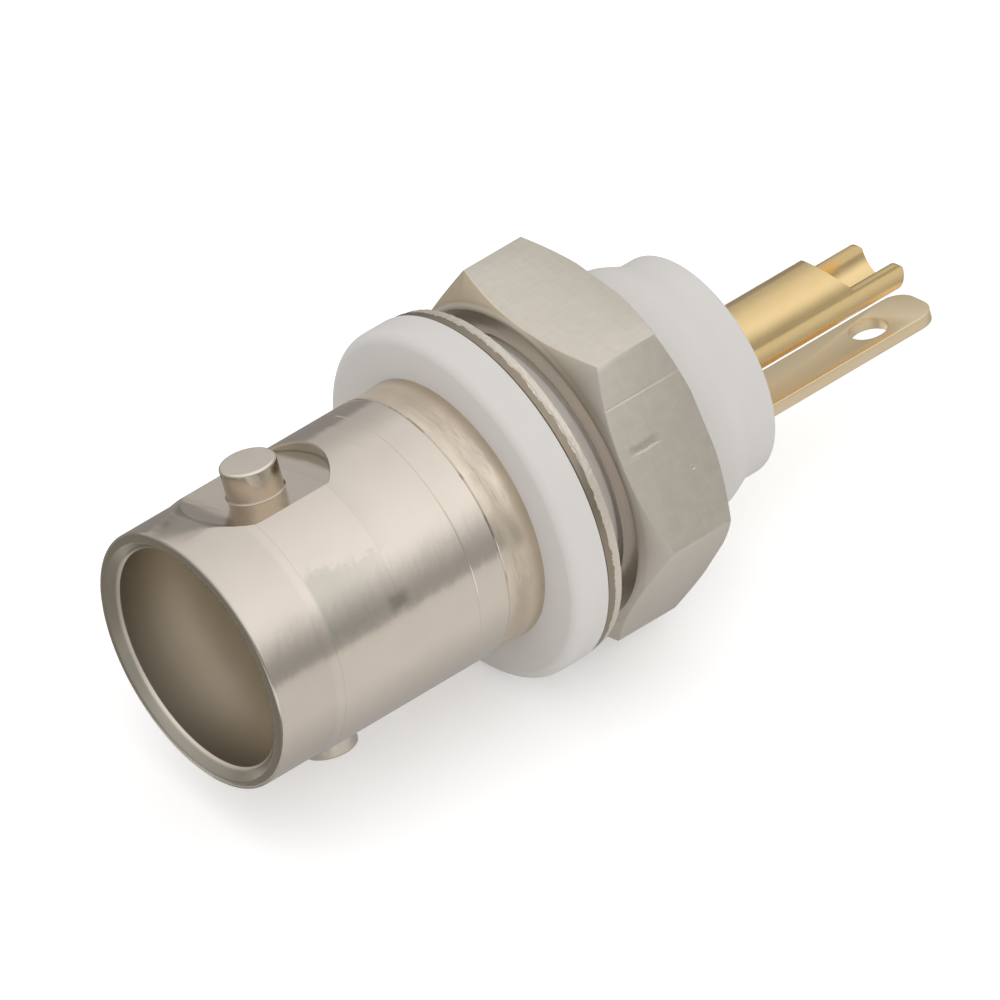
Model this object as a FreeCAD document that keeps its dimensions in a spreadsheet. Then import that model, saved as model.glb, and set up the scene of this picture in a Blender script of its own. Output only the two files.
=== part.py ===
import FreeCAD, Part
import Sketcher
import PartDesign
import math
import os

# Insulated bulkhead coaxial jack: bayonet barrel, white insulator with a threaded rear,
# lock washer, hexagon nut, solder cup and ground tab.
# The connector's axis is Y. The mouth points to -Y, the solder cup to +Y and +Z is up.
# The origin is on the axis, in the rear face of the flange, where a panel seats.
# All lengths are in millimetres and all angles in degrees.

Vector = FreeCAD.Vector

# Driving sizes: name, value, meaning
SIZES = [
    # Barrel of the shell
    ("barrel_length", 9.8, "mouth to the start of the neck"),
    ("barrel_radius", 4.825, "outside of the barrel"),
    ("front_relief", 0.05, "radius lost on the front stretch"),
    ("front_length", 2.35, "length of the front stretch"),
    ("relief_ramp", 0.4, "length of the ramp behind the front stretch"),
    ("bore_radius", 4.07, "bore that takes the plug's spring fingers"),
    ("bore_depth", 8.4, "mouth to the floor of the bore"),
    ("mouth_chamfer", 0.35, "45 degree lead-in at the mouth"),
    ("mouth_edge", 0.08, "broken outer edge of the mouth"),
    ("neck_length", 1.5, "length of the neck in front of the flange"),
    ("neck_waist", 0.7, "start of the neck to its thinnest place"),
    ("neck_relief", 0.06, "radius lost at that place"),
    ("web_thickness", 1.0, "web between the bore and the dielectric's seat"),
    # Bayonet studs
    ("stud_place", 4.25, "mouth to the studs' axis"),
    ("stud_radius", 0.99, "radius of each stud"),
    ("stud_reach", 5.5, "axis to the top of each stud"),
    ("stud_edge", 0.1, "rounded top edge of each stud"),
    ("stud_root", 4.22, "axis to the plane where each stud starts"),
    ("hollow_floor", 4.375, "axis to the flat milled round each stud"),
    ("hollow_radius", 2.6, "rounded rear end of that flat"),
    ("ramp_length", 2.6, "mouth to the foot of the ramp in front of the flat"),
    ("ramp_steep", 0.95, "length of the ramp's steep stretch"),
    ("ramp_steep_rise", 0.27, "height of that stretch"),
    ("ramp_rise", 0.385, "height of the ramp at the mouth"),
    ("stud_angle", 112.1, "plane of the studs, from +X towards +Z"),
    # Stem of the shell, inside the insulator
    ("stem_radius", 3.6, "outside of the stem"),
    # Insulator
    ("flange_radius", 6.5, "outside of the flange"),
    ("flange_thickness", 1.4, "thickness of the flange"),
    ("flange_front_round", 0.4, "rounding of the front edge"),
    ("flange_rear_round", 0.2, "rounding of the rear edge"),
    ("insulator_length", 9.3, "seat to the rear face"),
    ("rear_wall", 2.05, "thickness of the wall behind the stem"),
    ("thread_radius", 4.76, "major radius of the 3/8-32 thread"),
    ("tail_radius", 4.1, "plain tail behind the thread"),
    ("tail_length", 0.95, "length of the plain tail"),
    ("taper_length", 1.05, "length of the taper before the tail"),
    ("tail_round", 0.15, "rounding of the tail's rear edge"),
    # Lock washer
    ("washer_radius", 6.45, "outside of the washer"),
    ("washer_width", 0.85, "width of the ring, outside the roots of the teeth"),
    ("washer_thickness", 0.5, "thickness of the sheet"),
    ("washer_gap", 0.08, "seat to the ring, held off by the twisted teeth"),
    ("tooth_count", 10, "number of internal teeth"),
    ("tooth_clearance", 0.11, "crests of the thread to the tips of the teeth"),
    ("tooth_width", 1.5, "width of each tooth"),
    ("tooth_twist", 5.0, "twist of each tooth about its own radius"),
    # Hexagon nut
    ("nut_flats", 12.0, "width across flats"),
    ("nut_thickness", 3.3, "thickness of the nut"),
    ("thread_clearance", 0.04, "crests of the thread to the bore of the nut"),
    ("nut_lead", 0.25, "chamfer of the bore at both faces"),
    ("nut_face", 5.8, "radius of the flat front face"),
    ("nut_chamfer_slope", 0.577, "fall of the corner chamfer for each unit of radius"),
    ("nut_place", 1.8, "seat to the nut's front face"),
    ("nut_angle", 94.9, "normal of one flat, from +X towards +Z"),
    # Dielectric
    ("nose_radius", 2.36, "nose that enters the plug"),
    ("nose_place", 3.65, "mouth to the nose"),
    ("nose_chamfer", 0.2, "broken edge of the nose"),
    ("core_radius", 2.9, "rear of the dielectric, inside the stem"),
    # Centre contact
    ("socket_radius", 1.1, "outside of the socket"),
    ("socket_bore", 0.7, "bore that takes the plug's pin"),
    ("socket_recess", 0.3, "nose of the dielectric to the front of the socket"),
    ("socket_lead", 0.15, "lead-in of the pin bore"),
    ("socket_depth", 5.0, "depth of the pin bore"),
    ("socket_slot", 0.25, "width of the slot that splits the socket"),
    ("socket_slot_length", 3.6, "length of that slot"),
    ("collar_radius", 1.3, "collar that stops the contact"),
    ("collar_place", 1.5, "dielectric's shoulder to the front of the collar"),
    ("collar_length", 1.2, "length of the collar"),
    ("cup_radius", 1.24, "outside of the solder cup"),
    ("cup_bore", 0.98, "bore of the solder cup"),
    ("cup_length", 7.95, "insulator's rear face to the end of the cup"),
    ("cup_depth", 6.3, "depth of the cup"),
    ("trough_length", 2.11, "length of the open trough at the end of the cup"),
    ("trough_height", 0.185, "axis to the cut faces of the trough"),
    ("shoulder_lean", 0.69, "run of the slanted shoulder for each unit of height"),
    ("trough_round", 0.32, "rounded tips of the trough's walls"),
    ("key_angle", 108.0, "open side of the cup, from +X towards +Z"),
    # Ground tab, on the side away from the opening of the cup
    ("tab_width", 2.15, "width of the strip"),
    ("tab_thickness", 0.45, "thickness of the strip"),
    ("tab_distance", 2.25, "axis to the near face of the strip"),
    ("tab_length", 9.05, "insulator's rear face to the end of the strip"),
    ("tab_corner", 0.78, "rounded corners of that end"),
    ("tab_hole", 0.67, "radius of the wire hole"),
    ("tab_hole_inset", 2.25, "end of the strip to the centre of the hole"),
    ("tab_ring_outer", 3.5, "outside of the ring behind the stem"),
    ("tab_ring_inner", 1.9, "inside of that ring"),
    ("tab_relief", 0.35, "width of the cuts beside the bend"),
    ("tab_bend", 0.35, "outside of the bend"),
    # Fit
    ("press_gap", 0.01, "drawn gap between pressed pieces, on the radius"),
]

# Places along the axis, written with the sizes above
MOUTH = "- ( flange_thickness + neck_length + barrel_length )"
NECK = "- ( flange_thickness + neck_length )"
FLANGE_FRONT = "- flange_thickness"
FLOOR = MOUTH + " + bore_depth"
SHOULDER = FLOOR + " + web_thickness"
NOSE = MOUTH + " + nose_place"
SOCKET = NOSE + " + socket_recess"
COLLAR = SHOULDER + " + collar_place"
WALL_FRONT = "insulator_length - rear_wall"
STEM_END = WALL_FRONT + " - tab_thickness"
TAPER = "insulator_length - tail_length - taper_length"
TAIL = "insulator_length - tail_length"
CUP_END = "insulator_length + cup_length"
TROUGH = CUP_END + " - trough_length"
TAB_END = "insulator_length + tab_length"

# Radii that follow the piece inside
STEM_BORE = "core_radius + press_gap"
WASHER_RING = "washer_radius - washer_width"
TOOTH_TIP = "thread_radius + tooth_clearance"
NUT_BORE = "thread_radius + thread_clearance"

document = FreeCAD.newDocument("bulkhead_jack")
sheet = document.addObject("Spreadsheet::Sheet", "Sizes")
for row, (alias, value, meaning) in enumerate(SIZES, start=1):
    sheet.set("A%d" % row, meaning)
    sheet.set("B%d" % row, str(value))
    sheet.setAlias("B%d" % row, alias)
document.recompute()
ALIASES = {alias for alias, value, meaning in SIZES}

# A reader that gives the value of an expression before any shape needs it
reader = document.addObject("App::FeaturePython", "Reader")
reader.addProperty("App::PropertyFloat", "Result")


def cells(expression):
    """The expression with each name pointing at its cell."""
    words = []
    for word in expression.split():
        words.append("Sizes." + word if word in ALIASES else word)
    return " ".join(words)


def number(expression):
    """The present value of an expression."""
    reader.setExpression("Result", cells(expression))
    reader.recompute()
    return reader.Result


def bind(thing, target, expression):
    """Ties a property to an expression."""
    thing.setExpression(target, cells(expression))


def new_body(label):
    body = document.addObject("PartDesign::Body", label)
    body.Label = label
    return body


def origin_feature(body, role):
    for feature in body.Origin.OriginFeatures:
        if feature.Role == role:
            return feature
    raise LookupError(role)


def new_sketch(body, name, role, offset=None, turn=None):
    """A sketch on one of the body's own planes, raised by offset and turned by turn."""
    sketch = body.newObject("Sketcher::SketchObject", name)
    sketch.AttachmentSupport = [(origin_feature(body, role), "")]
    sketch.MapMode = "FlatFace"
    if offset:
        bind(sketch, "AttachmentOffset.Base.z", offset)
    if turn:
        bind(sketch, "AttachmentOffset.Rotation.Angle", turn)
    document.recompute()
    return sketch


def pin_point(sketch, curve, end, across, along, name):
    """Holds one end of a curve at two expressions measured from the sketch's origin."""
    for kind, expression, letter in (("DistanceX", across, "x"), ("DistanceY", along, "y")):
        held = Sketcher.Constraint(kind, -1, 1, curve, end, number(expression))
        index = sketch.addConstraint(held)
        sketch.renameConstraint(index, name + letter)
        bind(sketch, "Constraints." + name + letter, expression)


def draw_outline(sketch, corners, name="corner"):
    """A closed outline of straight lines through corners given as pairs of expressions."""
    spots = [Vector(number(across), number(along), 0) for across, along in corners]
    first = sketch.GeometryCount
    for start, end in zip(spots, spots[1:] + spots[:1]):
        sketch.addGeometry(Part.LineSegment(start, end), False)
    for step in range(len(corners)):
        before = first + (step - 1) % len(corners)
        sketch.addConstraint(Sketcher.Constraint("Coincident", before, 2, first + step, 1))
    for step, (across, along) in enumerate(corners):
        pin_point(sketch, first + step, 1, across, along, "%s%d" % (name, step))


def draw_circle(sketch, across, along, radius, name="circle"):
    centre = Vector(number(across), number(along), 0)
    circle = Part.Circle(centre, Vector(0, 0, 1), number(radius))
    curve = sketch.addGeometry(circle, False)
    pin_point(sketch, curve, 3, across, along, name)
    index = sketch.addConstraint(Sketcher.Constraint("Radius", curve, number(radius)))
    sketch.renameConstraint(index, name + "r")
    bind(sketch, "Constraints." + name + "r", radius)


def draw_arch(sketch, half_width, low, high):
    """A closed outline: straight sides from low to high, then a half-round end."""
    half, bottom, top = number(half_width), number(low), number(high)
    spots = [Vector(-half, bottom, 0), Vector(half, bottom, 0), Vector(half, top, 0)]
    sketch.addGeometry(Part.LineSegment(spots[0], spots[1]), False)
    sketch.addGeometry(Part.LineSegment(spots[1], spots[2]), False)
    whole = Part.Circle(Vector(0, top, 0), Vector(0, 0, 1), half)
    sketch.addGeometry(Part.ArcOfCircle(whole, 0, math.pi), False)
    sketch.addGeometry(Part.LineSegment(Vector(-half, top, 0), spots[0]), False)
    for before, after in ((0, 1), (1, 2), (2, 3), (3, 0)):
        sketch.addConstraint(Sketcher.Constraint("Coincident", before, 2, after, 1))
    pin_point(sketch, 0, 1, "- " + half_width, low, "first")
    pin_point(sketch, 1, 1, half_width, low, "second")
    pin_point(sketch, 2, 1, half_width, high, "third")
    pin_point(sketch, 2, 3, "0 * " + half_width, high, "centre")
    level = sketch.addConstraint(Sketcher.Constraint("DistanceY", -1, 1, 3, 1, top))
    sketch.renameConstraint(level, "fourthy")
    bind(sketch, "Constraints.fourthy", high)


def box_corners(low_across, high_across, low_along, high_along):
    return [(low_across, low_along), (high_across, low_along),
            (high_across, high_along), (low_across, high_along)]


def turn_feature(body, kind, name, corners):
    """A turned solid or a turned cut: corners are (radius, place along the axis)."""
    sketch = new_sketch(body, name + "_outline", "XY_Plane")
    draw_outline(sketch, corners)
    turned = body.newObject(kind, name)
    turned.Profile = sketch
    turned.ReferenceAxis = (sketch, ["V_Axis"])
    turned.Angle = 360
    document.recompute()
    return turned


def turn_solid(body, name, corners):
    return turn_feature(body, "PartDesign::Revolution", name, corners)


def turn_cut(body, name, corners):
    before = body.Shape.Volume
    turned = turn_feature(body, "PartDesign::Groove", name, corners)
    assert body.Shape.Volume < before - 1e-4, name + " cuts nothing"
    return turned


def extrude(body, kind, name, sketch, length, flip=False, both_sides=False):
    """A pad or a pocket of a length given as an expression."""
    feature = body.newObject(kind, name)
    feature.Profile = sketch
    feature.Length = number(length)
    bind(feature, "Length", length)
    feature.Reversed = flip
    feature.Midplane = both_sides
    document.recompute()
    return feature


def cut(body, name, sketch, length, flip=False, both_sides=False):
    before = body.Shape.Volume
    pocket = extrude(body, "PartDesign::Pocket", name, sketch, length, flip, both_sides)
    assert body.Shape.Volume < before - 1e-4, name + " cuts nothing"
    return pocket


def pad(body, name, sketch, length, flip=False, both_sides=False):
    return extrude(body, "PartDesign::Pad", name, sketch, length, flip, both_sides)


def repeat_round(body, name, features, count):
    """Repeats features evenly round the connector's axis."""
    polar = body.newObject("PartDesign::PolarPattern", name)
    polar.Originals = features
    polar.Axis = (origin_feature(body, "Y_Axis"), [""])
    polar.Angle = 360
    polar.Occurrences = int(round(number(count)))
    body.Tip = polar
    document.recompute()
    return polar


def round_edges(body, name, radius, chosen):
    """Rounds the edges that the test picks out."""
    edges = []
    for place, edge in enumerate(body.Shape.Edges, start=1):
        if chosen(edge):
            edges.append("Edge%d" % place)
    assert edges, name + " finds no edge"
    base = body.Tip
    fillet = body.newObject("PartDesign::Fillet", name)
    fillet.Base = (base, edges)
    fillet.Radius = number(radius)
    bind(fillet, "Radius", radius)
    body.Tip = fillet
    document.recompute()
    return fillet


def same(value, target):
    return abs(value - target) < 1e-4


def rim(radius, along):
    """Picks the circle of one radius at one place along the axis."""
    wanted_radius = number(radius)
    wanted_place = number(along)

    def chosen(edge):
        curve = edge.Curve
        if not isinstance(curve, Part.Circle):
            return False
        return same(curve.Radius, wanted_radius) and same(curve.Center.y, wanted_place)
    return chosen


def spots_on(edge, axis, value):
    """True if the whole edge lies at one value of x, y or z."""
    return all(same(getattr(vertex.Point, axis), value) for vertex in edge.Vertexes)


def face_angle(body, angle):
    """Turns a finished piece about the axis until its own +Z is at an angle from +X."""
    turned = FreeCAD.Rotation(Vector(0, 1, 0), 90 - number(angle))
    body.Placement = FreeCAD.Placement(Vector(0, 0, 0), turned)


def make_shell():
    """Nickel-plated brass barrel with studs, neck and stem, turned from one bar."""
    body = new_body("shell")
    front = "barrel_radius - front_relief"
    turn_solid(body, "turning", [
        ("bore_radius + mouth_chamfer", MOUTH),
        (front + " - mouth_edge", MOUTH),
        (front, MOUTH + " + mouth_edge"),
        (front, MOUTH + " + front_length"),
        ("barrel_radius", MOUTH + " + front_length + relief_ramp"),
        ("barrel_radius", NECK),
        ("barrel_radius - neck_relief", NECK + " + neck_waist"),
        ("barrel_radius", FLANGE_FRONT),
        ("stem_radius", FLANGE_FRONT),
        ("stem_radius", STEM_END),
        (STEM_BORE, STEM_END),
        (STEM_BORE, SHOULDER),
        ("nose_radius + press_gap", SHOULDER),
        ("nose_radius + press_gap", FLOOR),
        ("bore_radius", FLOOR),
        ("bore_radius", MOUTH + " + mouth_chamfer"),
    ])

    # The flat round each stud, with a rounded rear end and a ramp up to the mouth
    foot = MOUTH + " + ramp_length"
    flat = new_sketch(body, "hollow_outline", "XY_Plane", "hollow_floor")
    draw_arch(flat, "hollow_radius", foot, MOUTH + " + stud_place")
    hollow = cut(body, "hollow", flat, "stud_reach", flip=True)

    side = new_sketch(body, "ramp_outline", "YZ_Plane")
    knee = foot + " - ramp_steep"
    ahead = MOUTH + " - mouth_chamfer"
    high = "stud_reach + ramp_rise"
    draw_outline(side, [
        (foot, "hollow_floor"),
        (knee, "hollow_floor + ramp_steep_rise"),
        (MOUTH, "hollow_floor + ramp_rise"),
        (ahead, "hollow_floor + ramp_rise"),
        (ahead, high),
        (foot, high),
    ])
    ramp = cut(body, "ramp", side, "4 * barrel_radius", both_sides=True)
    repeat_round(body, "both_hollows", [hollow, ramp], "2")

    # The studs
    base = new_sketch(body, "stud_outline", "XY_Plane", "stud_root")
    draw_circle(base, "0 * stud_place", MOUTH + " + stud_place", "stud_radius")
    stud = pad(body, "stud", base, "stud_reach - stud_root")
    repeat_round(body, "both_studs", [stud], "2")
    top = number("stud_reach")
    round_edges(body, "stud_tops", "stud_edge",
                lambda edge: all(same(abs(vertex.Point.z), top) for vertex in edge.Vertexes))
    face_angle(body, "stud_angle")
    return body


def make_insulator():
    """White moulding: flange, threaded body and rear wall, pressed onto the stem."""
    body = new_body("insulator")
    turn_solid(body, "moulding", [
        ("stem_radius + press_gap", FLANGE_FRONT),
        ("flange_radius", FLANGE_FRONT),
        ("flange_radius", "0 * tail_length"),
        ("thread_radius", "0 * tail_length"),
        ("thread_radius", TAPER),
        ("tail_radius", TAIL),
        ("tail_radius", "insulator_length"),
        ("cup_radius + press_gap", "insulator_length"),
        ("cup_radius + press_gap", WALL_FRONT),
        ("stem_radius + press_gap", WALL_FRONT),
    ])
    round_edges(body, "flange_front", "flange_front_round", rim("flange_radius", FLANGE_FRONT))
    round_edges(body, "flange_rear", "flange_rear_round", rim("flange_radius", "0 * tail_length"))
    round_edges(body, "tail_edge", "tail_round", rim("tail_radius", "insulator_length"))

    # Slot in the rear wall for the ground tab
    slot = new_sketch(body, "tab_slot_outline", "XZ_Plane", "- insulator_length - tail_length")
    draw_outline(slot, box_corners("- tab_width / 2 - press_gap", "tab_width / 2 + press_gap",
                                   "- tab_distance - tab_thickness - press_gap",
                                   "- tab_distance + press_gap"))
    cut(body, "tab_slot", slot, "rear_wall + 1.5 * tail_length", flip=True)
    face_angle(body, "key_angle")
    return body


def make_dielectric():
    """White core that carries the centre contact: nose, shoulder and stepped bore."""
    body = new_body("dielectric")
    turn_solid(body, "core", [
        ("socket_radius + press_gap", NOSE),
        ("nose_radius - nose_chamfer", NOSE),
        ("nose_radius", NOSE + " + nose_chamfer"),
        ("nose_radius", SHOULDER),
        ("core_radius", SHOULDER),
        ("core_radius", STEM_END),
        ("collar_radius + press_gap", STEM_END),
        ("collar_radius + press_gap", COLLAR),
        ("socket_radius + press_gap", COLLAR),
    ])
    return body


def make_centre_contact():
    """Gold-plated contact: split socket in front, stop collar, solder cup behind."""
    body = new_body("centre_contact")
    turn_solid(body, "contact_turning", [
        ("socket_bore + socket_lead", SOCKET),
        ("socket_radius", SOCKET),
        ("socket_radius", COLLAR),
        ("collar_radius", COLLAR),
        ("collar_radius", COLLAR + " + collar_length"),
        ("cup_radius", COLLAR + " + collar_length"),
        ("cup_radius", CUP_END),
        ("cup_bore", CUP_END),
        ("cup_bore", CUP_END + " - cup_depth"),
        ("0 * cup_bore", CUP_END + " - cup_depth"),
        ("0 * cup_bore", SOCKET + " + socket_depth + socket_bore / 2"),
        ("socket_bore", SOCKET + " + socket_depth"),
        ("socket_bore", SOCKET + " + socket_lead"),
    ])

    # One saw cut splits the socket into two tines
    saw = new_sketch(body, "saw_outline", "XY_Plane")
    draw_outline(saw, box_corners("- socket_slot / 2", "socket_slot / 2",
                                  SOCKET + " - socket_slot", SOCKET + " + socket_slot_length"))
    cut(body, "saw_cut", saw, "4 * socket_radius", both_sides=True)

    # The cup is cut down to a trough with a slanted shoulder
    side = new_sketch(body, "trough_outline", "YZ_Plane")
    high = "cup_radius + trough_height"
    draw_outline(side, [
        (TROUGH, "trough_height"),
        (CUP_END + " + cup_radius", "trough_height"),
        (CUP_END + " + cup_radius", high),
        (TROUGH + " - cup_radius * shoulder_lean", high),
    ])
    cut(body, "trough", side, "4 * cup_radius", both_sides=True)

    # Rounded tips of the trough's walls: the corner outside a quarter circle is cut away
    tips = new_sketch(body, "tips_outline", "YZ_Plane")
    centre_along = CUP_END + " - trough_round"
    centre_up = "trough_height - trough_round"
    radius = number("trough_round")
    middle = Vector(number(centre_along), number(centre_up), 0)
    whole = Part.Circle(middle, Vector(0, 0, 1), radius)
    tips.addGeometry(Part.ArcOfCircle(whole, 0, math.pi / 2), False)
    corners = [
        (centre_along, "trough_height"),
        (centre_along, "trough_height + trough_round"),
        (CUP_END + " + trough_round", "trough_height + trough_round"),
        (CUP_END + " + trough_round", centre_up),
        (CUP_END, centre_up),
    ]
    spots = [Vector(number(along), number(up), 0) for along, up in corners]
    for start, stop in zip(spots, spots[1:]):
        tips.addGeometry(Part.LineSegment(start, stop), False)
    for line in (2, 3, 4):
        tips.addConstraint(Sketcher.Constraint("Coincident", line - 1, 2, line, 1))
    tips.addConstraint(Sketcher.Constraint("Coincident", 0, 2, 1, 1))
    tips.addConstraint(Sketcher.Constraint("Coincident", 4, 2, 0, 1))
    pin_point(tips, 0, 3, centre_along, centre_up, "centre")
    for line, (along, up) in enumerate(corners[:4], start=1):
        pin_point(tips, line, 1, along, up, "tip%d" % line)
    level = tips.addConstraint(
        Sketcher.Constraint("DistanceY", -1, 1, 4, 2, number(centre_up)))
    tips.renameConstraint(level, "tip5y")
    bind(tips, "Constraints.tip5y", centre_up)
    cut(body, "tips", tips, "4 * cup_radius", both_sides=True)
    face_angle(body, "key_angle")
    return body


def make_ground_tab():
    """Gold-plated strip: a ring behind the stem with one leg folded to the rear."""
    body = new_body("ground_tab")
    turn_solid(body, "ring", [
        ("tab_ring_inner", STEM_END),
        ("tab_ring_outer", STEM_END),
        ("tab_ring_outer", WALL_FRONT),
        ("tab_ring_inner", WALL_FRONT),
    ])
    relief = new_sketch(body, "relief_outline", "XZ_Plane", "- ( " + STEM_END + " ) + tab_relief")
    draw_outline(relief, box_corners("- tab_width / 2 - tab_relief", "tab_width / 2 + tab_relief",
                                     "- tab_ring_outer - tab_relief",
                                     "- tab_distance + 0.15 * tab_thickness"))
    cut(body, "reliefs", relief, "4 * tab_thickness")
    foot = new_sketch(body, "foot_outline", "XZ_Plane", "- ( " + STEM_END + " )")
    draw_outline(foot, box_corners("- tab_width / 2", "tab_width / 2",
                                   "- tab_distance - tab_thickness",
                                   "- tab_distance + 0.3 * tab_thickness"))
    pad(body, "foot", foot, "tab_thickness", flip=True)
    leg = new_sketch(body, "leg_outline", "XY_Plane", "- tab_distance - tab_thickness")
    draw_outline(leg, box_corners("- tab_width / 2", "tab_width / 2", STEM_END, TAB_END))
    pad(body, "leg", leg, "tab_thickness")
    hole = new_sketch(body, "hole_outline", "XY_Plane", "- tab_distance + tab_thickness")
    draw_circle(hole, "0 * tab_hole", TAB_END + " - tab_hole_inset", "tab_hole")
    cut(body, "hole", hole, "3 * tab_thickness")
    start = number(STEM_END)
    end = number(TAB_END)
    half = number("tab_width / 2")
    outer = number("- tab_distance - tab_thickness")

    def is_corner(edge):
        beside = spots_on(edge, "x", half) or spots_on(edge, "x", -half)
        return beside and spots_on(edge, "y", end)
    round_edges(body, "end_corners", "tab_corner", is_corner)
    round_edges(body, "bend", "tab_bend",
                lambda edge: spots_on(edge, "y", start) and spots_on(edge, "z", outer))
    face_angle(body, "key_angle")
    return body


def make_lock_washer():
    """Spring steel washer with slightly twisted internal teeth."""
    body = new_body("lock_washer")
    turn_solid(body, "washer_ring", [
        (WASHER_RING, "washer_gap"),
        ("washer_radius", "washer_gap"),
        ("washer_radius", "washer_gap + washer_thickness"),
        (WASHER_RING, "washer_gap + washer_thickness"),
    ])

    # Each tooth is turned about its own radius, so its edges stand proud of both faces
    section = body.newObject("Sketcher::SketchObject", "tooth_outline")
    section.AttachmentSupport = [(origin_feature(body, "XY_Plane"), "")]
    section.MapMode = "FlatFace"
    section.AttachmentOffset = FreeCAD.Placement(
        Vector(0, number("washer_gap + washer_thickness / 2"), number(TOOTH_TIP)),
        FreeCAD.Rotation(Vector(0, 0, 1), number("tooth_twist")))
    bind(section, "AttachmentOffset.Base.y", "washer_gap + washer_thickness / 2")
    bind(section, "AttachmentOffset.Base.z", TOOTH_TIP)
    bind(section, "AttachmentOffset.Rotation.Angle", "tooth_twist")
    document.recompute()
    draw_outline(section, box_corners("- tooth_width / 2", "tooth_width / 2",
                                      "- washer_thickness / 2", "washer_thickness / 2"))
    length = WASHER_RING + " - ( " + TOOTH_TIP + " ) + washer_thickness / 2"
    tooth = pad(body, "tooth", section, length)
    repeat_round(body, "teeth", [tooth], "tooth_count")
    face_angle(body, "nut_angle")
    return body


def make_hex_nut():
    """Nickel-plated brass nut, chamfered on its front corners only."""
    body = new_body("hex_nut")
    front = "nut_place"
    rear = "nut_place + nut_thickness"
    sketch = new_sketch(body, "hexagon", "XZ_Plane", "- nut_place")
    half_side = "nut_flats * 0.288675"
    corner = "nut_flats * 0.57735"
    half = "nut_flats / 2"
    draw_outline(sketch, [
        (half_side, half), ("- " + half_side, half), ("- " + corner, "0 * nut_flats"),
        ("- " + half_side, "- " + half), (half_side, "- " + half), (corner, "0 * nut_flats"),
    ])
    draw_circle(sketch, "0 * nut_flats", "0 * nut_flats", NUT_BORE)
    pad(body, "hexagon_pad", sketch, "nut_thickness", flip=True)
    wide = "nut_flats * 0.7"
    turn_cut(body, "corner_chamfer", [
        ("nut_face", front),
        (wide, front + " + ( " + wide + " - nut_face ) * nut_chamfer_slope"),
        (wide, front + " - nut_lead"),
        ("nut_face", front + " - nut_lead"),
    ])
    turn_cut(body, "front_lead", [
        (NUT_BORE + " + nut_lead", front),
        (NUT_BORE + " - nut_lead", front + " + 2 * nut_lead"),
        (NUT_BORE + " - nut_lead", front),
    ])
    turn_cut(body, "rear_lead", [
        (NUT_BORE + " + nut_lead", rear),
        (NUT_BORE + " - nut_lead", rear + " - 2 * nut_lead"),
        (NUT_BORE + " - nut_lead", rear),
    ])
    face_angle(body, "nut_angle")
    return body


pieces = [
    make_shell(),
    make_insulator(),
    make_dielectric(),
    make_centre_contact(),
    make_ground_tab(),
    make_lock_washer(),
    make_hex_nut(),
]
document.removeObject("Reader")
document.recompute()

for thing in document.Objects:
    state = list(thing.State)
    assert "Invalid" not in state and "Error" not in state, thing.Name

os.makedirs("parts", exist_ok=True)
for piece in pieces:
    shape = piece.Shape
    assert not shape.isNull() and shape.isValid(), piece.Label
    assert len(shape.Solids) == 1, piece.Label
    shape.exportStep("parts/%s.step" % piece.Label)
    box = shape.BoundBox
    print("%-16s %8.2f mm3  y %.2f to %.2f" % (piece.Label, shape.Volume, box.YMin, box.YMax))
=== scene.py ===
import bpy
import math
from mathutils import Matrix, Vector, noise


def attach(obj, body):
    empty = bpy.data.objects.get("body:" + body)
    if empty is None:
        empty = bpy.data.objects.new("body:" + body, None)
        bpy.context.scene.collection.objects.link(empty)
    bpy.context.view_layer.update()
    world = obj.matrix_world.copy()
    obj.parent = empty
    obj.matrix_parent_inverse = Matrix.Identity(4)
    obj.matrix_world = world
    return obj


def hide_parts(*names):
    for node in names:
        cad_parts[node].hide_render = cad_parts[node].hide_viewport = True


# Insulated bulkhead coaxial jack: looks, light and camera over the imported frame
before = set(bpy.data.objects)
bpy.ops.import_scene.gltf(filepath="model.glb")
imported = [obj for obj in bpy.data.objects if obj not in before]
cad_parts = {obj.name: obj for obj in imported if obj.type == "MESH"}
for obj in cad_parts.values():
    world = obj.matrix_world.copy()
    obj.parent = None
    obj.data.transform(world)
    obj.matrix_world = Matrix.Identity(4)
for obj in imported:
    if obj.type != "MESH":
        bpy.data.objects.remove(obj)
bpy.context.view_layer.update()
MM = 0.001

# Places along the axis, in millimetres from the rear face of the flange
MOUTH = -12.7
LEAD_END = MOUTH + 0.35
RAMP_FOOT = MOUTH + 2.6
RELIEF_END = MOUTH + 2.75
STUD_PLACE = MOUTH + 4.25
FLOOR = -4.3
SCORE = -4.15
SHOULDER = -3.3
NECK = -2.9
COLLAR_FRONT = -1.8
FLANGE_FRONT = -1.4
WASHER_FRONT = 0.03
WASHER_REAR = 0.63
THREAD_START = 1.75
NUT_FRONT = 1.8
THREAD_END = 5.2
NUT_REAR = 5.4
STEM_END = 6.8
WALL_FRONT = 7.25
TAPER = 7.3
TAIL = 8.35
REAR_FACE = 9.3
CUP_END = 17.25
TAB_END = 18.35

# Distances from the axis
FRONT_RADIUS = 4.775
BARREL_RADIUS = 4.825
MOUTH_RING = 4.44
BORE_RADIUS = 4.07
MILLED_FLAT = 4.375
STUD_TOP = 5.5
WASHER_RADIUS = 6.45
NUT_FLAT = 6.0
NUT_BORE = 4.8
TAB_HIGH = -2.25
TAB_LOW = -2.7

# Other sizes in millimetres; the slope is the rise of the nut's chamfer for each outward step
STUD_RADIUS = 0.99
HOLLOW_RADIUS = 2.6
TAB_HALF = 1.075
NUT_CONE = 5.8
NUT_SLOPE = 0.577

# Directions about the axis, in degrees from the right through the top
STUD_ANGLE = math.radians(112.1)
RIGHT_FLAT = math.radians(34.9)

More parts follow.
